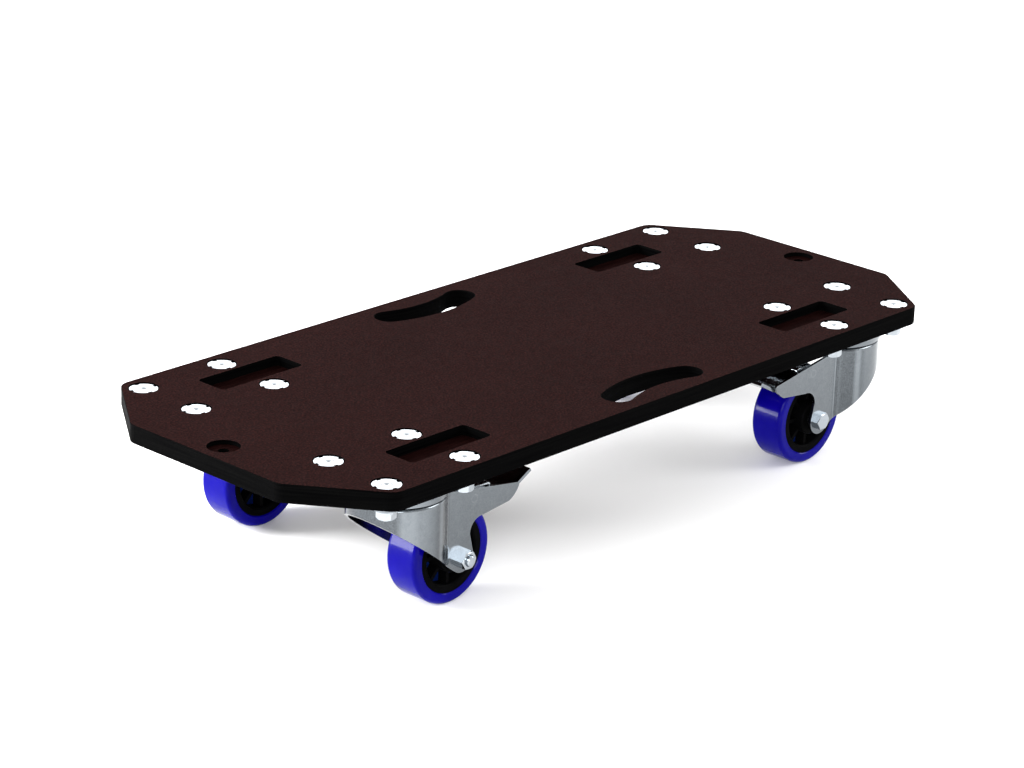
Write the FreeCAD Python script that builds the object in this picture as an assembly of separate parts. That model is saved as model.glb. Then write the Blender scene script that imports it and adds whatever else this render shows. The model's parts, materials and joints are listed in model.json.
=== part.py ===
import FreeCAD, Part
import math
import os
from FreeCAD import Vector

os.makedirs("parts", exist_ok=True)

# Castor dolly board: a flat octagonal board on four braked swivel castors.
# Frame: origin on the floor under the board's centre, +X along the board, +Z up. Millimetres.

# Board
BOARD_L, BOARD_W, BOARD_T = 710.0, 300.0, 15.0
CUT_X, CUT_Y, VERTEX_R = 50.0, 70.0, 13.0
EDGE_R = 0.6

# Castor places and the standard 80 x 60 fixing pattern of a small top plate
CASTOR_X, CASTOR_Y = 257.3, 101.75
FIX_X, FIX_Y = 80.0, 60.0

# Recesses that take the wheels of a second board stacked on top
WELL_L, WELL_W, WELL_D, WELL_R, WELL_OFFSET = 84.0, 30.0, 8.0, 4.0, 43.0

# Curved hand-holds through the board
HOLD_W, HOLD_R, HOLD_CENTRE_Y, HOLD_HALF_ANGLE = 25.0, 110.0, 226.0, 21.9

# Counterbored holes at the two ends
END_HOLE_X, END_HOLE_R, END_CBORE_R, END_CBORE_D = 334.5, 4.15, 12.75, 3.5

# Tee nuts and M8 plate bolts
TEE_FLANGE_R, TEE_FLANGE_T, TEE_SINK, TEE_RECESS_R = 11.0, 1.5, 0.7, 11.9
TEE_BARREL_R, TEE_BARREL_L, TEE_PRONG_L, TEE_TURN = 5.0, 11.0, 7.0, -9.0
M8_R, M8_AF, M8_HEAD_H = 4.0, 13.0, 5.3
CUP_R, CUP_DEPTH, TIP_BELOW_FLANGE = 2.7, 0.9, 0.12
FLAT_WASHER_R, FLAT_WASHER_T, SPRING_WASHER_R, SPRING_WASHER_T = 8.0, 1.6, 7.2, 2.0

# Top plate with its dished centre; heights are below the board's underside
PLATE_L, PLATE_W, PLATE_T, PLATE_R = 104.0, 84.0, 3.0, 9.0
DISH_RIM_R, DISH_LIP_R, DISH_LIP_Z, WEB_TOP_Z, WEB_BOTTOM_Z = 41.5, 38.6, -9.6, -3.4, -6.4

# Fork: an apron round the swivel axis that runs into two flat cheeks
APRON_R, CHEEK_Y, SHEET, NECK_R = 37.6, 25.2, 2.5, 8.0
CROWN_TOP_Z, CROWN_T, CROWN_EDGE_R, CROWN_HOLE_R, CROWN_END_X = -10.8, 3.0, 2.6, 8.5, 34.0
TRAIL, AXLE_Z, BOSS_R = 45.1, -69.0, 11.7
AXLE_HEAD_H, AXLE_NUT_H, AXLE_STUB = 4.6, 8.0, 2.5

# Swivel bearing
MAIN_BALL_R, MAIN_PITCH_R, MAIN_BALLS = 3.0, 27.0, 16
SMALL_BALL_R, SMALL_PITCH_R, SMALL_BALLS = 2.0, 13.0, 10
BALL_CLEARANCE = 0.05
KINGPIN_R, KINGPIN_HEAD_R, CAP_TOP_Z, CAP_BOTTOM_Z = 5.0, 9.0, -16.6, -20.4

# Wheel
WHEEL_R, WHEEL_W, SHOULDER_R, RIM_R, RIM_INNER_R = 40.0, 30.0, 3.4, 31.2, 25.0
RIM_HALF_W, HUB_R, HUB_HALF_L, WEB_HALF_T, RIB_COUNT, RIB_T = 14.2, 14.0, 18.0, 2.5, 8, 3.0
BEARING_R, BEARING_W, BEARING_BORE_R = 11.0, 7.0, 4.05
SPACER_R = 6.5

# Brake pedal, its pivot pin, shoe and spring
PIVOT_X, PIVOT_Z, PIN_R, BARREL_R, PIN_CLEARANCE = 57.0, -25.0, 3.0, 4.3, 0.05
PEDAL_T, PEDAL_HALF_W, ARM_HALF_W, BARREL_HALF_L = 2.5, 22.0, 16.0, 22.2
SHOE_GAP, SHOE_HALF_W = 3.95, 11.0
SPRING_T, SPRING_TURN_R = 1.2, 1.7

# The wheels stand on the floor, so the axle's drop and the wheel's radius set the board's height
BOARD_BOTTOM = WHEEL_R - AXLE_Z
UP = Vector(0, 0, 1)
ACROSS = Vector(0, 1, 0)

CASTORS = {
    "left_front": (-CASTOR_X, -CASTOR_Y, 0.0),
    "left_rear": (-CASTOR_X, CASTOR_Y, 0.0),
    "right_front": (CASTOR_X, -CASTOR_Y, 180.0),
    "right_rear": (CASTOR_X, CASTOR_Y, 180.0),
}


# ---------------------------------------------------------------- helpers

def save(name, shape):
    """Write one node: a solid, or a compound of separate solids."""
    shape.exportStep("parts/" + name + ".step")
    print(name, len(shape.Solids), "solid(s)", round(shape.Volume / 1000.0, 2), "cm3", shape.isValid())


def rounded_wire(corners):
    """Closed wire in the XY plane through (x, y, radius) corners."""
    count = len(corners)
    starts, ends, arcs = [], [], []
    for i, (x, y, radius) in enumerate(corners):
        here = Vector(x, y, 0)
        before = Vector(corners[i - 1][0], corners[i - 1][1], 0)
        after = Vector(corners[(i + 1) % count][0], corners[(i + 1) % count][1], 0)
        to_before = (before - here).normalize()
        to_after = (after - here).normalize()
        half = to_before.getAngle(to_after) / 2.0
        reach = radius / math.tan(half) if radius else 0.0
        start, end = here + to_before * reach, here + to_after * reach
        starts.append(start)
        ends.append(end)
        if radius:
            middle = here + (to_before + to_after).normalize() * (radius / math.sin(half) - radius)
            arcs.append(Part.Arc(start, middle, end).toShape())
        else:
            arcs.append(None)
    edges = []
    for i in range(count):
        if arcs[i]:
            edges.append(arcs[i])
        leave, arrive = ends[i], starts[(i + 1) % count]
        if leave.distanceToPoint(arrive) > 1e-6:
            edges.append(Part.LineSegment(leave, arrive).toShape())
    return Part.Wire(edges)


def prism(wire, bottom, top):
    """Extrude a plan wire between two heights."""
    solid = Part.Face(wire).extrude(Vector(0, 0, top - bottom))
    solid.translate(Vector(0, 0, bottom))
    return solid


def side_prism(wire, half_width):
    """Extrude a side-view wire, drawn as (x, z), to both sides of the XZ plane."""
    solid = Part.Face(wire).extrude(Vector(0, 0, 2 * half_width))
    solid.rotate(Vector(0, 0, 0), Vector(1, 0, 0), 90)
    solid.translate(Vector(0, half_width, 0))
    return solid


def revolved(profile):
    """Full turn about the Z axis of an (r, z) polygon."""
    points = [Vector(r, 0, z) for r, z in profile]
    return Part.Face(Part.makePolygon(points + [points[0]])).revolve(Vector(0, 0, 0), UP, 360)


def bar(radius, low, high, x=0.0, y=0.0):
    """Upright cylinder between two heights."""
    return Part.makeCylinder(radius, high - low, Vector(x, y, low), UP)


def cross_bar(radius, y_from, y_to, x, z):
    """Cylinder across the castor, along Y."""
    return Part.makeCylinder(radius, y_to - y_from, Vector(x, y_from, z), ACROSS)


def hex_head(across_flats, height):
    """Hexagon standing on z = 0 whose outer corners are chamfered to a circle."""
    corner = across_flats / math.sqrt(3.0)
    points = [Vector(corner * math.cos(math.radians(60 * k)), corner * math.sin(math.radians(60 * k)), 0)
              for k in range(6)]
    body = Part.Face(Part.makePolygon(points + [points[0]])).extrude(Vector(0, 0, height))
    flat = across_flats / 2.0 * 0.96
    slope = math.tan(math.radians(30))
    skirt = flat + height / slope
    return body.common(Part.makeCone(skirt, flat, height))


def on_circle(shape, count, pitch_radius):
    """Copies of a shape spread round the Z axis."""
    copies = []
    for k in range(count):
        angle = 2 * math.pi * k / count
        piece = shape.copy()
        piece.translate(Vector(pitch_radius * math.cos(angle), pitch_radius * math.sin(angle), 0))
        copies.append(piece)
    return copies


def band_wire(path, thickness):
    """Outline of a bent strip: path is (x, z, bend radius) of its middle line."""
    half = thickness / 2.0
    left, right = [], []
    for i, (x, z, radius) in enumerate(path):
        before = path[max(i - 1, 0)]
        after = path[min(i + 1, len(path) - 1)]
        here = Vector(x, z, 0)
        way_in = here - Vector(before[0], before[1], 0)
        way_out = Vector(after[0], after[1], 0) - here
        way_in = way_in.normalize() if i else way_out.normalize()
        way_out = way_out.normalize() if i < len(path) - 1 else way_in
        turn = way_in.x * way_out.y - way_in.y * way_out.x
        normal = Vector(-way_in.y - way_out.y, way_in.x + way_out.x, 0).normalize()
        offset = half / max(normal.dot(Vector(-way_in.y, way_in.x, 0)), 0.05)
        side = math.copysign(half, turn) if radius else 0.0
        one, other = here + normal * offset, here - normal * offset
        left.append((one.x, one.y, radius - side if radius else 0.0))
        right.append((other.x, other.y, radius + side if radius else 0.0))
    return rounded_wire(left + right[::-1])


def place(shape, castor):
    """Carry a castor-frame shape to its place under the board."""
    x, y, turn = CASTORS[castor]
    moved = shape.copy()
    moved.rotate(Vector(0, 0, 0), UP, turn)
    moved.translate(Vector(x, y, BOARD_BOTTOM))
    return moved


def fixing_points():
    return [(sx * FIX_X / 2, sy * FIX_Y / 2) for sx in (-1, 1) for sy in (-1, 1)]


# ---------------------------------------------------------------- board and its fasteners

def hand_hold(side):
    """Curved slot with round ends, bowed towards the middle of the board."""
    angle = math.radians(HOLD_HALF_ANGLE)
    centre_y = side * HOLD_CENTRE_Y

    def at(radius, turn):
        return Vector(radius * math.sin(turn), centre_y - side * radius * math.cos(turn), 0)

    outer, inner = HOLD_R + HOLD_W / 2, HOLD_R - HOLD_W / 2
    tip = math.asin(HOLD_W / 2 / HOLD_R)
    edges = [
        Part.Arc(at(outer, -angle), at(outer, 0), at(outer, angle)),
        Part.Arc(at(outer, angle), at(HOLD_R, angle + tip), at(inner, angle)),
        Part.Arc(at(inner, angle), at(inner, 0), at(inner, -angle)),
        Part.Arc(at(inner, -angle), at(HOLD_R, -angle - tip), at(outer, -angle)),
    ]
    return prism(Part.Wire([edge.toShape() for edge in edges]), -1.0, BOARD_T + 1.0)


def board_outline():
    half_l, half_w = BOARD_L / 2, BOARD_W / 2
    corners = [(half_l, half_w - CUT_Y), (half_l - CUT_X, half_w)]
    corners += [(-x, y) for x, y in corners[::-1]]
    corners += [(-x, -y) for x, y in corners]
    return rounded_wire([(x, y, VERTEX_R) for x, y in corners])


def deck_board():
    board = prism(board_outline(), 0.0, BOARD_T)
    for side in (-1, 1):
        board = board.cut(hand_hold(side))
    flat_edges = [e for e in board.Edges if e.BoundBox.ZLength < 1e-6]
    board = board.makeFillet(EDGE_R, flat_edges)
    cutters = []
    for x in (-END_HOLE_X, END_HOLE_X):
        cutters.append(bar(END_HOLE_R, -1.0, BOARD_T + 1.0, x, 0))
        cutters.append(bar(END_CBORE_R, BOARD_T - END_CBORE_D, BOARD_T + 1.0, x, 0))
    half_l, half_w = WELL_L / 2, WELL_W / 2
    well = rounded_wire([(sx * half_l, sy * half_w, WELL_R)
                         for sx, sy in ((1, -1), (1, 1), (-1, 1), (-1, -1))])
    for cx, cy, turn in CASTORS.values():
        pocket = prism(well, BOARD_T - WELL_D, BOARD_T + 1.0)
        pocket.translate(Vector(cx + (WELL_OFFSET if turn == 0.0 else -WELL_OFFSET), cy, 0))
        cutters.append(pocket)
        for fx, fy in fixing_points():
            recess = bar(TEE_RECESS_R, BOARD_T - TEE_SINK - TEE_FLANGE_T, BOARD_T + 1.0, cx + fx, cy + fy)
            slots = tee_prongs()
            slots.translate(Vector(cx + fx, cy + fy, 0))
            cutters += [recess, bar(TEE_BARREL_R, -1.0, BOARD_T, cx + fx, cy + fy), slots]
    board = board.cut(Part.makeCompound(cutters))
    board.translate(Vector(0, 0, BOARD_BOTTOM))
    return board.Solids[0]


def tee_prongs():
    """Four prongs under the flange, bent down out of the notches in its rim."""
    top = BOARD_T - TEE_SINK - TEE_FLANGE_T
    prongs = []
    for k in range(4):
        prong = Part.makeBox(1.2, 2.6, TEE_PRONG_L, Vector(TEE_FLANGE_R - 3.4, -1.3, top - TEE_PRONG_L))
        prong.rotate(Vector(0, 0, 0), UP, TEE_TURN + 90 * k)
        prongs.append(prong)
    return Part.makeCompound(prongs)


def tee_nut():
    top = BOARD_T - TEE_SINK
    under = top - TEE_FLANGE_T
    nut = bar(TEE_FLANGE_R, under, top).fuse(bar(TEE_BARREL_R, top - TEE_BARREL_L, top))
    for k in range(4):
        notch = Part.makeBox(4.0, 3.6, 4.0, Vector(TEE_FLANGE_R - 2.1, -1.8, under - 1.0))
        notch.rotate(Vector(0, 0, 0), UP, TEE_TURN + 90 * k)
        nut = nut.cut(notch)
    nut = nut.fuse(tee_prongs())
    nut = nut.cut(bar(M8_R, 0.0, BOARD_T + 1.0)).removeSplitter()
    mouth = Part.makeCone(M8_R, M8_R + 0.3, 0.3, Vector(0, 0, top - 0.3))
    nut = nut.cut(mouth)
    nut.translate(Vector(0, 0, BOARD_BOTTOM))
    return nut


def washer_stack_height():
    return FLAT_WASHER_T + SPRING_WASHER_T


def plate_bolt():
    """M8 bolt with a cupped end that comes up through the plate into its tee nut."""
    head_top = -PLATE_T - washer_stack_height()
    shank_top = BOARD_T - TEE_SINK - TIP_BELOW_FLANGE
    shank = bar(M8_R, head_top - 0.5, shank_top)
    tip = [e for e in shank.Edges if abs(e.BoundBox.ZMin - shank_top) < 1e-6]
    shank = shank.makeChamfer(0.3, tip)
    shank = shank.cut(Part.makeCone(0.0, CUP_R, CUP_DEPTH, Vector(0, 0, shank_top - CUP_DEPTH)))
    head = hex_head(M8_AF, M8_HEAD_H)
    head.rotate(Vector(0, 0, 0), Vector(1, 0, 0), 180)
    head.rotate(Vector(0, 0, 0), UP, 12)
    head.translate(Vector(0, 0, head_top))
    bolt = head.fuse(shank).removeSplitter()
    bolt.translate(Vector(0, 0, BOARD_BOTTOM))
    return bolt


def plate_washers():
    """Flat washer against the plate and a split spring washer under it."""
    flat = bar(FLAT_WASHER_R, -PLATE_T - FLAT_WASHER_T, -PLATE_T).cut(bar(M8_R + 0.2, -20, 20))
    low = -PLATE_T - washer_stack_height()
    spring = bar(SPRING_WASHER_R, low, low + SPRING_WASHER_T).cut(bar(M8_R + 0.1, -20, 20))
    split = Part.makeBox(8, 0.8, 6, Vector(2.5, -0.4, low - 2))
    split.rotate(Vector(6, 0, low + 1), Vector(1, 0, 0), 25)
    spring = spring.cut(split)
    pair = Part.makeCompound([flat, spring.Solids[0]])
    pair.translate(Vector(0, 0, BOARD_BOTTOM))
    return pair


def at_fixings(piece):
    """One copy of a fastener at each of the sixteen fixing points."""
    solids = []
    for cx, cy, _ in CASTORS.values():
        for fx, fy in fixing_points():
            moved = piece.copy()
            moved.translate(Vector(cx + fx, cy + fy, 0))
            solids += moved.Solids
    return Part.makeCompound(solids)


# ---------------------------------------------------------------- swivel head

def race(pitch_radius, ball_radius, height):
    """Groove cutter for one ring of balls."""
    return Part.makeTorus(pitch_radius, ball_radius + BALL_CLEARANCE, Vector(0, 0, height), UP)


def main_ball_z():
    return (WEB_BOTTOM_Z + CROWN_TOP_Z) / 2


def small_ball_z():
    return CAP_TOP_Z + SMALL_BALL_R / 2


def top_plate():
    half_l, half_w = PLATE_L / 2, PLATE_W / 2
    outline = rounded_wire([(sx * half_l, sy * half_w, PLATE_R)
                            for sx, sy in ((1, -1), (1, 1), (-1, 1), (-1, -1))])
    flat = prism(outline, -PLATE_T, 0.0).cut(bar(DISH_RIM_R, -10, 10))
    dish = revolved([(KINGPIN_R, WEB_TOP_Z), (37.0, WEB_TOP_Z), (39.8, 0.0), (DISH_RIM_R, 0.0),
                     (DISH_RIM_R, -PLATE_T), (40.0, -5.2), (DISH_LIP_R, DISH_LIP_Z),
                     (36.4, DISH_LIP_Z), (35.6, WEB_BOTTOM_Z), (KINGPIN_R, WEB_BOTTOM_Z)])
    dish = dish.cut(race(MAIN_PITCH_R, MAIN_BALL_R, main_ball_z()))
    plate = flat.fuse(dish).removeSplitter()
    for fx, fy in fixing_points():
        plate = plate.cut(bar(M8_R + 0.3, -10, 10, fx, fy))
    return plate


def swivel_balls():
    main = Part.makeSphere(MAIN_BALL_R, Vector(0, 0, main_ball_z()))
    small = Part.makeSphere(SMALL_BALL_R, Vector(0, 0, small_ball_z()))
    balls = on_circle(main, MAIN_BALLS, MAIN_PITCH_R) + on_circle(small, SMALL_BALLS, SMALL_PITCH_R)
    return Part.makeCompound(balls)


def kingpin():
    """Rivet-like pin: a flat head above the plate's web and a peened end below the cap."""
    head_top = WEB_TOP_Z + 2.8
    return revolved([(0, head_top), (KINGPIN_HEAD_R - 1.5, head_top), (KINGPIN_HEAD_R, head_top - 1.5),
                     (KINGPIN_HEAD_R, WEB_TOP_Z), (KINGPIN_R, WEB_TOP_Z), (KINGPIN_R, CAP_BOTTOM_Z),
                     (8.0, CAP_BOTTOM_Z), (6.5, CAP_BOTTOM_Z - 2.0), (0, CAP_BOTTOM_Z - 2.4)])


def bearing_cap():
    cap = revolved([(KINGPIN_R, CAP_TOP_Z), (17.0, CAP_TOP_Z), (17.4, -14.6), (19.2, -14.6), (19.2, -18.0),
                    (17.2, CAP_BOTTOM_Z), (KINGPIN_R, CAP_BOTTOM_Z)])
    return cap.cut(race(SMALL_PITCH_R, SMALL_BALL_R, small_ball_z()))


# ---------------------------------------------------------------- fork

def fork_plan(inset):
    """Plan outline: an arc about the swivel axis, necked in to two parallel cheeks."""
    radius, half, neck = APRON_R - inset, CHEEK_Y - inset, NECK_R + inset
    neck_x = math.sqrt((radius + neck) ** 2 - (half + neck) ** 2)
    join = Vector(neck_x, half + neck, 0) * (radius / (radius + neck))
    far_x = 130.0
    aim = math.atan2(join.y - (half + neck), join.x - neck_x)
    middle_angle = (aim - math.pi / 2) / 2
    dip = Vector(neck_x + neck * math.cos(middle_angle), half + neck + neck * math.sin(middle_angle), 0)

    def low(v):
        return Vector(v.x, -v.y, 0)

    upper_end, corner = Vector(neck_x, half, 0), Vector(far_x, half, 0)
    edges = [
        Part.Arc(low(join), Vector(-radius, 0, 0), join).toShape(),
        Part.Arc(join, dip, upper_end).toShape(),
        Part.LineSegment(upper_end, corner).toShape(),
        Part.LineSegment(corner, low(corner)).toShape(),
        Part.LineSegment(low(corner), low(upper_end)).toShape(),
        Part.Arc(low(upper_end), low(dip), low(join)).toShape(),
    ]
    return Part.Wire(edges)


def tangent_point(from_x, from_z, side):
    """Where a line from a point touches the round end about the axle."""
    dx, dz = from_x - TRAIL, from_z - AXLE_Z
    angle = math.atan2(dz, dx) + side * math.acos(BOSS_R / math.hypot(dx, dz))
    return TRAIL + BOSS_R * math.cos(angle), AXLE_Z + BOSS_R * math.sin(angle)


def fork_side():
    """Side outline of the fork, drawn as (x, z)."""
    front_x, front_z = -38.4, -21.1
    front_touch = tangent_point(front_x, front_z, 1)
    rear_x, rear_z = 53.0, -52.2
    rear_touch = tangent_point(rear_x, rear_z, -1)
    boss_low = Vector(TRAIL + BOSS_R * math.cos(-0.9), AXLE_Z + BOSS_R * math.sin(-0.9), 0)

    def line(a, b):
        return Part.LineSegment(Vector(a[0], a[1], 0), Vector(b[0], b[1], 0)).toShape()

    crown_end, cheek_start = (29.0, CROWN_TOP_Z + 1.0), (34.5, -13.6)
    tail_top, tail_nose = (104.4, -24.7), (105.2, -26.8)
    tail_low, tail_under, armpit = (94.6, -37.1), (66.0, -40.5), (55.3, -45.3)
    edges = [
        line((front_x, front_z), (front_x, CROWN_TOP_Z + 1.0)),
        line((front_x, CROWN_TOP_Z + 1.0), crown_end),
        line(crown_end, cheek_start),
        line(cheek_start, tail_top),
        Part.Arc(Vector(*tail_top, 0), Vector(105.1, -25.5, 0), Vector(*tail_nose, 0)).toShape(),
        Part.Arc(Vector(*tail_nose, 0), Vector(101.2, -32.5, 0), Vector(*tail_low, 0)).toShape(),
        line(tail_low, tail_under),
        Part.Arc(Vector(*tail_under, 0), Vector(*armpit, 0), Vector(rear_x, rear_z, 0)).toShape(),
        line((rear_x, rear_z), rear_touch),
        Part.Arc(Vector(*rear_touch, 0), boss_low, Vector(*front_touch, 0)).toShape(),
        line(front_touch, (front_x, front_z)),
    ]
    return Part.Wire(edges)


def fork():
    bottom = AXLE_Z - BOSS_R - 5.0
    outer = prism(fork_plan(0.0), bottom, CROWN_TOP_Z)
    top_edges = [e for e in outer.Edges if e.BoundBox.ZMin > CROWN_TOP_Z - 1e-3 and e.BoundBox.XMax < 129.0]
    outer = outer.makeFillet(CROWN_EDGE_R, top_edges)
    inside = prism(fork_plan(SHEET), bottom - 1.0, CROWN_TOP_Z - CROWN_T)
    open_top = prism(fork_plan(SHEET), CROWN_TOP_Z - CROWN_T - 1.0, 1.0)
    open_top = open_top.common(Part.makeBox(200, 200, 200, Vector(CROWN_END_X, -100, -100)))
    shell = outer.cut(inside).cut(open_top)
    shell = shell.common(side_prism(fork_side(), 60.0))
    shell = shell.cut(bar(CROWN_HOLE_R, -30, 0))
    shell = shell.cut(race(MAIN_PITCH_R, MAIN_BALL_R, main_ball_z()))
    shell = shell.cut(race(SMALL_PITCH_R, SMALL_BALL_R, small_ball_z()))
    shell = shell.cut(cross_bar(M8_R + 0.1, -60, 60, TRAIL, AXLE_Z))
    shell = shell.cut(cross_bar(PIN_R, -60, 60, PIVOT_X, PIVOT_Z))
    return max(shell.Solids, key=lambda solid: solid.Volume)


# ---------------------------------------------------------------- axle and wheel

def along_axle(shape, y):
    """Turn a shape built up +Z to point along +Y, and put it on the axle line."""
    moved = shape.copy()
    moved.rotate(Vector(0, 0, 0), Vector(1, 0, 0), -90)
    moved.translate(Vector(TRAIL, y, AXLE_Z))
    return moved


def axle_bolt():
    length = 2 * CHEEK_Y + AXLE_NUT_H + AXLE_STUB
    shank = bar(M8_R, -length, 0.5)
    end = [e for e in shank.Edges if abs(e.BoundBox.ZMax + length) < 1e-6]
    shank = shank.makeChamfer(0.8, end)
    head = hex_head(M8_AF, AXLE_HEAD_H)
    return along_axle(head.fuse(shank).removeSplitter(), CHEEK_Y)


def axle_nut():
    """All-metal locking nut: a deep hexagon, chamfered at its outer end."""
    body = hex_head(M8_AF, AXLE_NUT_H).cut(bar(M8_R, -1.0, AXLE_NUT_H + 1.0))
    mouth = Part.makeCone(M8_R, M8_R + 0.8, 0.8, Vector(0, 0, AXLE_NUT_H - 0.8))
    body = body.cut(mouth)
    body.rotate(Vector(0, 0, 0), Vector(1, 0, 0), 180)
    return along_axle(body, -CHEEK_Y)


def axle_spacers():
    """Short sleeves between each bearing and the cheek beside it."""
    inner_face = CHEEK_Y - SHEET
    sleeve = bar(SPACER_R, HUB_HALF_L + 0.3, inner_face).cut(bar(M8_R + 0.02, 0, 40))
    other = sleeve.copy()
    other.rotate(Vector(0, 0, 0), Vector(1, 0, 0), 180)
    return along_axle(Part.makeCompound([sleeve, other]), 0.0)


def tyre():
    half = WHEEL_W / 2
    body = bar(WHEEL_R, -half, half)
    corners = [e for e in body.Edges if e.BoundBox.ZLength < 1e-6]
    body = body.makeFillet(SHOULDER_R, corners)
    lip = revolved([(RIM_R, RIM_HALF_W), (RIM_R + 1.6, half + 1), (0, half + 1), (0, RIM_HALF_W)])
    other_lip = lip.mirror(Vector(0, 0, 0), UP)
    body = body.cut(bar(RIM_R, -half - 1, half + 1)).cut(lip).cut(other_lip)
    return along_axle(body, 0.0)


def wheel_rim():
    """Moulded rim: outer ring, web, hub with two bearing seats, and radial ribs."""
    half = RIM_HALF_W
    ring = revolved([(RIM_INNER_R + 1.2, -half), (RIM_R, -half), (RIM_R, half), (RIM_INNER_R + 1.2, half),
                     (RIM_INNER_R, half - 1.2), (RIM_INNER_R, -half + 1.2)])
    web = bar(RIM_INNER_R + 0.5, -WEB_HALF_T, WEB_HALF_T)
    hub = bar(HUB_R, -HUB_HALF_L, HUB_HALF_L)
    hub_ends = [e for e in hub.Edges if e.BoundBox.ZLength < 1e-6]
    body = ring.fuse([web, hub.makeChamfer(0.8, hub_ends)])
    depth = half - 3.2
    rib = Part.makeBox(RIM_INNER_R - HUB_R + 2.0, RIB_T, 2 * depth, Vector(HUB_R - 1.0, -RIB_T / 2, -depth))
    for k in range(RIB_COUNT):
        turned = rib.copy()
        turned.rotate(Vector(0, 0, 0), UP, 360.0 * k / RIB_COUNT)
        body = body.fuse(turned)
    seat = HUB_HALF_L - BEARING_W
    for radius, low, high in ((BEARING_R - 1.5, -30, 30), (BEARING_R, seat, 30), (BEARING_R, -30, -seat)):
        body = body.cut(bar(radius, low, high))
    return along_axle(body.removeSplitter(), 0.0)


def wheel_bearings():
    """Two shielded ball bearings, each with its rings and balls."""
    low = HUB_HALF_L - BEARING_W
    middle = low + BEARING_W / 2
    pitch = 7.65
    groove = Part.makeTorus(pitch, 1.9 + BALL_CLEARANCE, Vector(0, 0, middle), UP)
    outer = bar(BEARING_R, low, HUB_HALF_L).cut(bar(9.2, low - 1, 30)).cut(groove)
    shield = bar(9.4, HUB_HALF_L - 0.9, HUB_HALF_L - 0.4).cut(bar(6.4, 0, 30))
    inner = bar(6.1, low, HUB_HALF_L).cut(bar(BEARING_BORE_R, low - 1, 30)).cut(groove)
    balls = on_circle(Part.makeSphere(1.9, Vector(0, 0, middle)), 7, pitch)
    solids = [outer.fuse(shield).removeSplitter(), inner] + balls
    one = Part.makeCompound(solids)
    other = one.copy()
    other.rotate(Vector(0, 0, 0), Vector(1, 0, 0), 180)
    return along_axle(Part.makeCompound(one.Solids + other.Solids), 0.0)


# ---------------------------------------------------------------- brake

def brake_pin():
    """Pivot pin riveted flush in the cheeks."""
    return cross_bar(PIN_R, -CHEEK_Y, CHEEK_Y, PIVOT_X, PIVOT_Z)


def brake_pedal():
    """Pressed lever: a rolled barrel on the pin, an arm over the tyre and an upturned tread."""
    path = [(PIVOT_X, PIVOT_Z + 1.2, 0.0), (72.0, -27.5, 12.0), (99.5, -31.8, 20.0), (121.0, -19.9, 0.0)]
    strip = side_prism(band_wire(path, PEDAL_T), 40.0)
    plan = rounded_wire([(40.0, ARM_HALF_W, 0.0), (40.0, -ARM_HALF_W, 0.0), (93.0, -ARM_HALF_W, 5.0),
                         (98.0, -PEDAL_HALF_W, 3.0), (140.0, -PEDAL_HALF_W, 0.0), (140.0, PEDAL_HALF_W, 0.0),
                         (98.0, PEDAL_HALF_W, 3.0), (93.0, ARM_HALF_W, 5.0)])
    strip = strip.common(prism(plan, -80, 10))
    barrel = cross_bar(BARREL_R, -BARREL_HALF_L, BARREL_HALF_L, PIVOT_X, PIVOT_Z)
    lever = strip.fuse(barrel)
    lever = lever.cut(cross_bar(PIN_R + PIN_CLEARANCE, -60, 60, PIVOT_X, PIVOT_Z))
    return max(lever.Solids, key=lambda solid: solid.Volume)


def brake_shoe(pedal):
    """Block under the arm, hollowed to the tyre's curve."""
    outline = rounded_wire([(67.0, -26.6, 0.0), (80.5, -28.9, 0.0), (80.5, -43.0, 2.0), (67.0, -39.0, 1.0)])
    block = side_prism(outline, SHOE_HALF_W)
    block = block.cut(cross_bar(WHEEL_R + SHOE_GAP, -60, 60, TRAIL, AXLE_Z)).cut(pedal)
    return max(block.Solids, key=lambda solid: solid.Volume)


def brake_spring():
    """Flat strip folded to a hairpin between the cheeks, over the pedal's barrel."""
    turn = SPRING_TURN_R
    upper_z, end_x = -17.9, 73.6
    lower_z = upper_z - 2 * turn
    path = [(59.0, upper_z + 0.6, 0.0), (end_x - 6.0, upper_z, 8.0), (end_x + turn, upper_z, turn - 0.01),
            (end_x + turn, lower_z, turn - 0.01), (63.5, lower_z, 0.0)]
    return side_prism(band_wire(path, SPRING_T), CHEEK_Y - SHEET)


# ---------------------------------------------------------------- build every node

def build():
    save("deck_board", deck_board())
    save("tee_nuts", at_fixings(tee_nut()))
    save("plate_bolts", at_fixings(plate_bolt()))
    save("plate_washers", at_fixings(plate_washers()))
    balls = swivel_balls()
    save("swivel_balls", Part.makeCompound([s for name in CASTORS for s in place(balls, name).Solids]))
    pin = kingpin()
    save("kingpins", Part.makeCompound([place(pin, name) for name in CASTORS]))
    pedal = brake_pedal()
    castor_pieces = {
        "top_plate": top_plate(),
        "bearing_cap": bearing_cap(),
        "fork": fork(),
        "axle_bolt": axle_bolt(),
        "axle_nut": axle_nut(),
        "axle_spacers": axle_spacers(),
        "wheel_rim": wheel_rim(),
        "tyre": tyre(),
        "wheel_bearings": wheel_bearings(),
        "brake_pin": brake_pin(),
        "brake_pedal": pedal,
        "brake_shoe": brake_shoe(pedal),
        "brake_spring": brake_spring(),
    }
    for castor in CASTORS:
        for piece, shape in castor_pieces.items():
            save(piece + "_" + castor, place(shape, castor))


build()
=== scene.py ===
import bpy
import json
import math
from mathutils import Matrix, Vector


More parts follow.
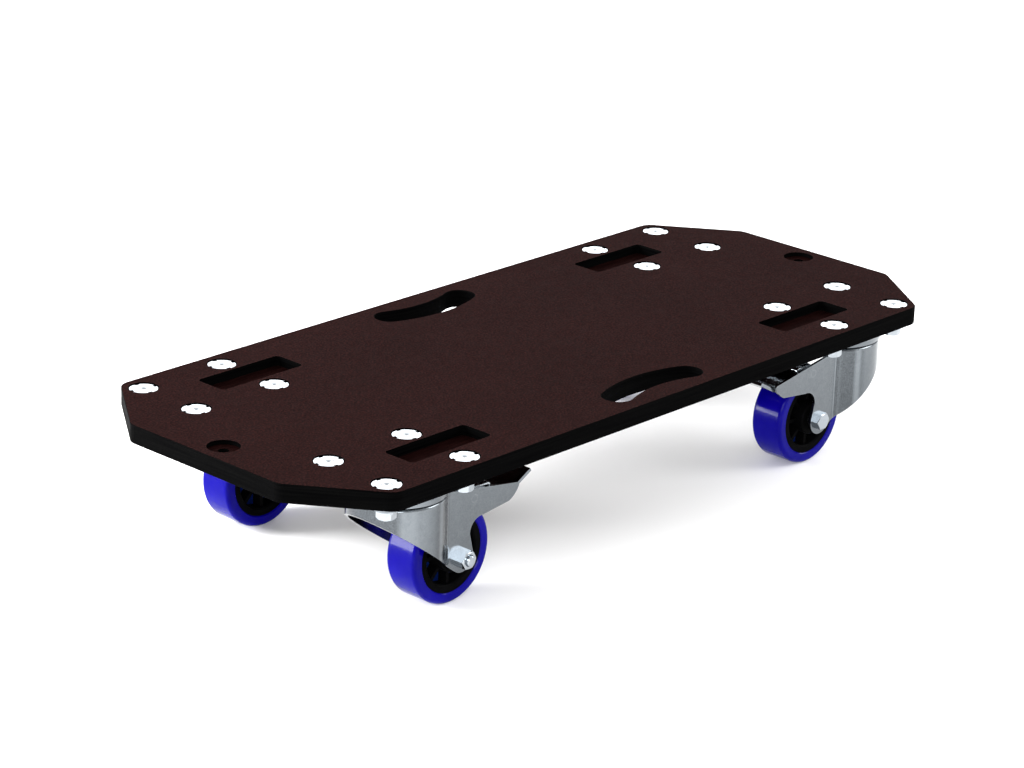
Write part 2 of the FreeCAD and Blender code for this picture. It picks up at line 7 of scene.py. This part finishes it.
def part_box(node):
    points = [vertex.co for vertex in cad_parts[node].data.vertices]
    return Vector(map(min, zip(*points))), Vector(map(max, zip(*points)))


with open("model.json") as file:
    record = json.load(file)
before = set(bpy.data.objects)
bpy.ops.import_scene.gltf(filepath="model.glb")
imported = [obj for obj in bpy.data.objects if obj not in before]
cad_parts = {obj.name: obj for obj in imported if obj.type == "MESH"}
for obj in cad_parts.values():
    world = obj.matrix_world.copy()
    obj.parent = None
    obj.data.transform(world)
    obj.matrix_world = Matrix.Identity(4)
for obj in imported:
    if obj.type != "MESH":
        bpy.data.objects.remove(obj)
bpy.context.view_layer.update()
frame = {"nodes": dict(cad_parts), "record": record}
nodes = frame["nodes"]
scene = bpy.context.scene

CASTORS = ("left_front", "left_rear", "right_front", "right_rear")

# Camera: heading, height above the horizon and roll in degrees; place in metres.
CAMERA_HEADING, CAMERA_ELEVATION, CAMERA_ROLL = -47.316, 20.26, 1.856
CAMERA_PLACE = Vector((-1.8887, -1.7178, 1.0312))
CAMERA_LENS, CAMERA_SENSOR = 119.31, 36.0

# Studio light. A softbox has a name, a place in metres, a width and height, and how bright its face looks.
LIGHT_AIM = Vector((0.0, 0.0, 0.06))
WORLD_STRENGTH = 1.25
SOFTBOXES = (
    ("back_right", (2.0, 1.9, 1.25), (2.6, 1.3), 2.3),
    ("back_left", (-1.75, 1.45, 0.80), (0.9, 1.5), 42.0),
    ("camera_side", (-2.2, -2.05, 1.25), (1.5, 0.9), 10.0),
    ("front_right", (1.9, -1.9, 1.25), (1.5, 0.9), 9.0),
    ("right", (2.7, -0.4, 1.3), (1.2, 1.0), 4.0),
)

# Floor: a sheet of pale paper just below the wheels.
FLOOR_SIZE, FLOOR_DROP, PAPER_WHITE = 16.0, 0.0005, 0.92

# A face counts as flat across an axis when its unit normal has more than this along that axis.
FLAT = 0.95
# A flat face of the board is a pocket's floor when it lies deeper than this below the top or the underside.
SKIN = 0.0008
# The web's faces lie within this distance of the wheel's middle.
WEB_DEPTH = 0.0045
# How far worn edges reach in from the edge, and how much of the wear shows at the edge itself.
FILM_WEAR, STEEL_WEAR = (0.0012, 0.4), (0.0008, 0.3)

# Painted reflection bands on the fork's round wall, placed by which way the wall faces: place around it from
# its front (0) to its tail (1), and share of bright steel against the painted dark reflection.
PAINTED_REFLECTION_BANDS = (
    (0.0, 0.08), (0.04, 0.10), (0.15, 0.16), (0.20, 0.66), (0.29, 0.70), (0.36, 0.46),
    (0.47, 0.50), (0.54, 0.50), (0.58, 0.36), (0.61, 0.30), (0.64, 0.75), (0.67, 0.75),
    (0.71, 0.12), (0.82, 0.18), (0.87, 0.9), (1.0, 0.6),
)
# The forks' tails point to +X on the left of the board and to -X on the right.
TAIL_HEADING = {"left": 1, "right": -1}


# ---------------------------------------------------------------- camera, floor and light

def add_camera():
    """The fixed viewpoint of the main picture."""
    data = bpy.data.cameras.new("camera")
    data.lens, data.sensor_width = CAMERA_LENS, CAMERA_SENSOR
    data.clip_start, data.clip_end = 0.05, 50.0
    camera = bpy.data.objects.new("camera", data)
    turn = (Matrix.Rotation(math.radians(CAMERA_HEADING), 4, "Z")
            @ Matrix.Rotation(math.radians(90.0 - CAMERA_ELEVATION), 4, "X")
            @ Matrix.Rotation(math.radians(CAMERA_ROLL), 4, "Z"))
    camera.matrix_world = Matrix.Translation(CAMERA_PLACE) @ turn
    scene.collection.objects.link(camera)
    scene.camera = camera


def add_softbox(name, place, size, radiance):
    """Rectangular soft light that points at the object; radiance is how bright its face looks."""
    data = bpy.data.lights.new(name, "AREA")
    data.shape = "RECTANGLE"
    data.size, data.size_y = size
    data.energy = radiance * math.pi * size[0] * size[1]
    light = bpy.data.objects.new(name, data)
    light.location = place
    light.rotation_euler = (LIGHT_AIM - Vector(place)).to_track_quat("-Z", "Y").to_euler()
    light.visible_camera = False
    scene.collection.objects.link(light)


def add_floor():
    """Plain pale paper, which isn't part of the object."""
    bpy.ops.mesh.primitive_plane_add(size=FLOOR_SIZE, location=(0, 0, -FLOOR_DROP))
    floor = bpy.context.object
    floor.name = "floor"
    mat = bpy.data.materials.new("floor_paper")
    mat.use_nodes = True
    shader = mat.node_tree.nodes["Principled BSDF"]
    shader.inputs["Base Color"].default_value = (PAPER_WHITE, PAPER_WHITE, PAPER_WHITE, 1)
    shader.inputs["Roughness"].default_value = 0.9
    shader.inputs["Specular IOR Level"].default_value = 0.1
    floor.data.materials.append(mat)


def add_light():
    """Even white surroundings and the softboxes."""
    world = bpy.data.worlds.new("studio")
    scene.world = world
    world.use_nodes = True
    background = world.node_tree.nodes["Background"]
    background.inputs["Color"].default_value = (1, 1, 1, 1)
    background.inputs["Strength"].default_value = WORLD_STRENGTH
    for name, place, size, radiance in SOFTBOXES:
        add_softbox(name, place, size, radiance)
    scene.view_settings.view_transform = "Standard"


# ---------------------------------------------------------------- material building blocks

class Maker:
    """A new node material with a Principled shader and short calls for the usual nodes."""

    def __init__(self, name, rough, metallic=0.0):
        self.mat = bpy.data.materials.new(name)
        self.mat.use_nodes = True
        self.nodes, self.links = self.mat.node_tree.nodes, self.mat.node_tree.links
        self.shader = self.nodes["Principled BSDF"]
        self.shader.inputs["Roughness"].default_value = rough
        self.shader.inputs["Metallic"].default_value = metallic
        where = self.nodes.new("ShaderNodeTexCoord")
        self.place, self.facing = where.outputs["Object"], where.outputs["Normal"]

    def set(self, socket, value):
        """One value straight on the shader."""
        self.shader.inputs[socket].default_value = value

    def stretched(self, scale):
        """The place on the piece, scaled apart in x, y and z."""
        node = self.nodes.new("ShaderNodeMapping")
        node.inputs["Scale"].default_value = scale
        self.links.new(self.place, node.inputs["Vector"])
        return node.outputs["Vector"]

    def noise(self, scale, detail=3.0, roughness=0.5, vector=None):
        node = self.nodes.new("ShaderNodeTexNoise")
        node.inputs["Scale"].default_value = scale
        node.inputs["Detail"].default_value = detail
        node.inputs["Roughness"].default_value = roughness
        self.links.new(vector or self.place, node.inputs["Vector"])
        return node.outputs["Fac"]

    def cells(self, scale):
        """Irregular cells, each with its own colour."""
        node = self.nodes.new("ShaderNodeTexVoronoi")
        node.inputs["Scale"].default_value = scale
        self.links.new(self.place, node.inputs["Vector"])
        return node.outputs["Color"]

    def ramp(self, fac, stops):
        """Colours at places between 0 and 1, blended in between."""
        node = self.nodes.new("ShaderNodeValToRGB")
        for k, (position, colour) in enumerate(stops):
            stop = node.color_ramp.elements[k] if k < 2 else node.color_ramp.elements.new(position)
            stop.position = position
            stop.color = tuple(colour) + (1.0,)
        self.links.new(fac, node.inputs["Fac"])
        return node.outputs["Color"]

    def span(self, fac, low, high):
        """A value from 0 to 1 brought to lie from low to high."""
        node = self.nodes.new("ShaderNodeMapRange")
        node.inputs["To Min"].default_value = low
        node.inputs["To Max"].default_value = high
        self.links.new(fac, node.inputs["Value"])
        return node.outputs["Result"]

    def mix(self, fac, first, second):
        """First colour at 0, second at 1."""
        node = self.nodes.new("ShaderNodeMix")
        node.data_type = "RGBA"
        self.links.new(fac, node.inputs["Factor"])
        self.links.new(first, node.inputs["A"])
        self.links.new(second, node.inputs["B"])
        return node.outputs["Result"]

    def edges(self, reach):
        """How near an outer edge is: 0 on the flat, rising toward 1 at the edge."""
        node = self.nodes.new("ShaderNodeAmbientOcclusion")
        node.inside, node.only_local, node.samples = True, True, 4
        node.inputs["Distance"].default_value = reach
        return self.span(node.outputs["AO"], 1.0, 0.0)

    def side(self, heading):
        """Which way the surface faces along X: 0 against the heading, 1 with it."""
        across = self.nodes.new("ShaderNodeSeparateXYZ")
        self.links.new(self.facing, across.inputs["Vector"])
        node = self.nodes.new("ShaderNodeMapRange")
        node.inputs["From Min"].default_value = -heading
        node.inputs["From Max"].default_value = heading
        self.links.new(across.outputs["X"], node.inputs["Value"])
        return node.outputs["Result"]

    def colour(self, output):
        self.links.new(output, self.shader.inputs["Base Color"])

    def rough(self, output):
        self.links.new(output, self.shader.inputs["Roughness"])

    def bump(self, output, strength, distance):
        node = self.nodes.new("ShaderNodeBump")
        node.inputs["Strength"].default_value = strength
        node.inputs["Distance"].default_value = distance
        self.links.new(output, node.inputs["Height"])
        self.links.new(node.outputs["Normal"], self.shader.inputs["Normal"])


# ---------------------------------------------------------------- materials

def film_face():
    """Dark brown resin film with fine reddish flecks, rubbed paler along its edges."""
    m = Maker("film_face", 0.5)
    fine = m.noise(620.0, 4.0, 0.65)
    broad = m.noise(9.0)
    flecks = m.ramp(fine, [(0.34, (0.0040, 0.0014, 0.0014)), (0.50, (0.0086, 0.0032, 0.0031)),
                           (0.68, (0.0215, 0.0064, 0.0058))])
    worn = m.ramp(fine, [(0.34, (0.0054, 0.0019, 0.0019)), (0.50, (0.0104, 0.0037, 0.0036)),
                         (0.68, (0.0265, 0.0078, 0.0068))])
    rubbed = m.ramp(fine, [(0.34, (0.006, 0.003, 0.003)), (0.68, (0.050, 0.024, 0.020))])
    reach, share = FILM_WEAR
    film = m.mix(m.span(broad, -0.6, 1.6), flecks, worn)
    m.colour(m.mix(m.span(m.edges(reach), 0.0, share), film, rubbed))
    m.rough(m.span(m.noise(140.0), 0.42, 0.62))
    m.bump(fine, 0.25, 0.0002)
    m.set("Specular IOR Level", 0.002)
    return m.mat


def sealed_edge():
    """Black sealed plywood edge whose plies just show."""
    m = Maker("sealed_edge", 0.6)
    plies = m.noise(1.0, 2.0, 0.5, m.stretched((14.0, 14.0, 720.0)))
    m.colour(m.ramp(plies, [(0.35, (0.0004, 0.0004, 0.0005)), (0.65, (0.0013, 0.0013, 0.0013))]))
    m.rough(m.span(m.noise(420.0), 0.5, 0.72))
    m.bump(plies, 0.3, 0.0003)
    m.set("Specular IOR Level", 0.006)
    return m.mat


def routed_floor():
    """Routed floor of a pocket, darker than the film."""
    m = Maker("routed_floor", 0.7)
    grain = m.noise(1.0, 4.0, 0.6, m.stretched((60.0, 700.0, 700.0)))
    m.colour(m.ramp(grain, [(0.35, (0.0030, 0.0008, 0.0008)), (0.7, (0.0085, 0.0024, 0.0022))]))
    m.bump(grain, 0.4, 0.0003)
    m.set("Specular IOR Level", 0.003)
    return m.mat


def zinc(name, light, dark, rough_low, rough_high, heading=0):
    """Zinc-plated steel: faint spangle, fine speckle, soft sheen and bright edges.

    With a heading it gets painted reflection: light and dark bands down its round wall, placed by which way
    the wall faces.
    """
    m = Maker(name, rough_low, 1.0)
    spangle = m.cells(260.0)
    speckle = m.noise(1500.0, 3.0, 0.6)
    plain = m.mix(m.span(speckle, 0.0, 1.0), m.ramp(spangle, [(0.2, dark), (0.9, light)]),
                  m.ramp(speckle, [(0.3, dark), (0.7, light)]))
    if heading:
        # Painted reflection: bright and dark bands chosen by which way the wall faces, with grainy dark steel
        # as the painted dark reflection.
        painted_reflection_share = m.ramp(m.side(heading), [(at, (share, share, share)) for at, share in PAINTED_REFLECTION_BANDS])
        grain = m.noise(1100.0, 2.0, 0.7)
        dark_reflection_grain = m.ramp(grain, [(0.35, (0.040, 0.044, 0.048)), (0.65, (0.105, 0.115, 0.125))])
        plain = m.mix(painted_reflection_share, dark_reflection_grain, plain)
    reach, share = STEEL_WEAR
    rubbed = m.ramp(speckle, [(0.3, light), (0.7, (0.62, 0.66, 0.70))])
    m.colour(m.mix(m.span(m.edges(reach), 0.0, share), plain, rubbed))
    m.rough(m.span(m.noise(90.0, 4.0), rough_low, rough_high))
    m.bump(speckle, 0.08, 0.0001)
    return m.mat


def blue_rubber():
    """Deep blue elastic tyre, smooth and slightly glossy."""
    m = Maker("blue_rubber", 0.1)
    broad = m.noise(45.0)
    m.colour(m.ramp(broad, [(0.3, (0.0014, 0.0003, 0.140)), (0.7, (0.0026, 0.0007, 0.175))]))
    m.rough(m.span(m.noise(400.0, 4.0), 0.06, 0.15))
    m.set("Specular IOR Level", 0.062)
    m.bump(m.noise(900.0), 0.05, 0.0001)
    return m.mat


def black_nylon():
    """Matt black moulded plastic of the rims, and the bearings' seals."""
    m = Maker("black_nylon", 0.45)
    m.colour(m.ramp(m.noise(60.0), [(0.3, (0.0010, 0.0010, 0.0011)), (0.7, (0.0022, 0.0022, 0.0024))]))
    m.rough(m.span(m.noise(700.0, 4.0), 0.36, 0.56))
    m.bump(m.noise(1600.0), 0.12, 0.0001)
    m.set("Specular IOR Level", 0.006)
    return m.mat


def rim_web():
    """Dark blue plastic of the rim's web."""
    m = Maker("rim_web", 0.4)
    m.colour(m.ramp(m.noise(60.0), [(0.3, (0.0006, 0.0070, 0.060)), (0.7, (0.0014, 0.0120, 0.095))]))
    m.rough(m.span(m.noise(700.0, 4.0), 0.32, 0.5))
    m.set("Specular IOR Level", 0.02)
    return m.mat


def black_rubber():
    """Dull rubber of the brake shoes."""
    m = Maker("black_rubber", 0.7)
    m.colour(m.ramp(m.noise(160.0), [(0.3, (0.008, 0.008, 0.008)), (0.7, (0.018, 0.017, 0.017))]))
    m.bump(m.noise(900.0), 0.3, 0.0002)
    return m.mat


# ---------------------------------------------------------------- dressing the CAD nodes

def dress(node, mat):
    """One material over the whole node."""
    data = nodes[node].data
    data.materials.clear()
    data.materials.append(mat)


def dress_board():
    """Film on the flat faces, sealed paint on the edges, a darker routed floor in the pockets."""
    low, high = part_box("deck_board")
    data = nodes["deck_board"].data
    data.materials.clear()
    for mat in (film_face(), sealed_edge(), routed_floor()):
        data.materials.append(mat)
    film, edge, pocket = range(3)
    for face in data.polygons:
        if abs(face.normal.z) < FLAT:
            face.material_index = edge
        elif low.z + SKIN < face.center.z < high.z - SKIN:
            face.material_index = pocket
        else:
            face.material_index = film


def dress_rim(node, web):
    """Blue web: the flat faces deep in the rim, between the ribs."""
    low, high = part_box(node)
    middle = (low.y + high.y) / 2
    data = nodes[node].data
    data.materials.append(web)
    for face in data.polygons:
        if abs(face.normal.y) > FLAT and abs(face.center.y - middle) < WEB_DEPTH:
            face.material_index = 1


def dress_bearings(node, seal):
    """Black seals on the bearings' outward faces."""
    data = nodes[node].data
    data.materials.append(seal)
    for face in data.polygons:
        if abs(face.normal.y) > FLAT:
            face.material_index = 1


def dress_all():
    """The record's material slots first, then the pieces that need more than their slot's look."""
    nylon, web = black_nylon(), rim_web()
    looks = {
        "zinc_steel": zinc("zinc_plate", (0.205, 0.224, 0.241), (0.170, 0.187, 0.204), 0.12, 0.24),
        "bright_steel": zinc("bright_zinc", (0.42, 0.45, 0.48), (0.35, 0.38, 0.41), 0.08, 0.18),
        "ball_steel": zinc("bearing_steel", (0.75, 0.75, 0.77), (0.65, 0.65, 0.68), 0.08, 0.16),
        "rim_plastic": nylon,
        "blue_tyre": blue_rubber(),
        "shoe_rubber": black_rubber(),
    }
    for row in frame["record"]["subparts"]:
        if row["material_slot"] in looks:
            dress(row["node"], looks[row["material_slot"]])
    flush = zinc("pin_zinc", (0.165, 0.180, 0.194), (0.137, 0.150, 0.162), 0.12, 0.24)
    reflection_banded_zinc = {}
    for side, heading in TAIL_HEADING.items():
        light, dark = (0.250, 0.273, 0.292), (0.205, 0.225, 0.242)
        # Each side's forks get their own copy with the painted reflection bands turned to follow their tails.
        reflection_banded_zinc[side] = zinc("painted_reflection_zinc_" + side, light, dark, 0.12, 0.24, heading)
    for castor in CASTORS:
        dress_rim("wheel_rim_" + castor, web)
        dress_bearings("wheel_bearings_" + castor, nylon)
        dress("brake_pin_" + castor, flush)
        dress("fork_" + castor, reflection_banded_zinc[castor.split("_")[0]])
    dress_board()


add_camera()
add_floor()
add_light()
dress_all()
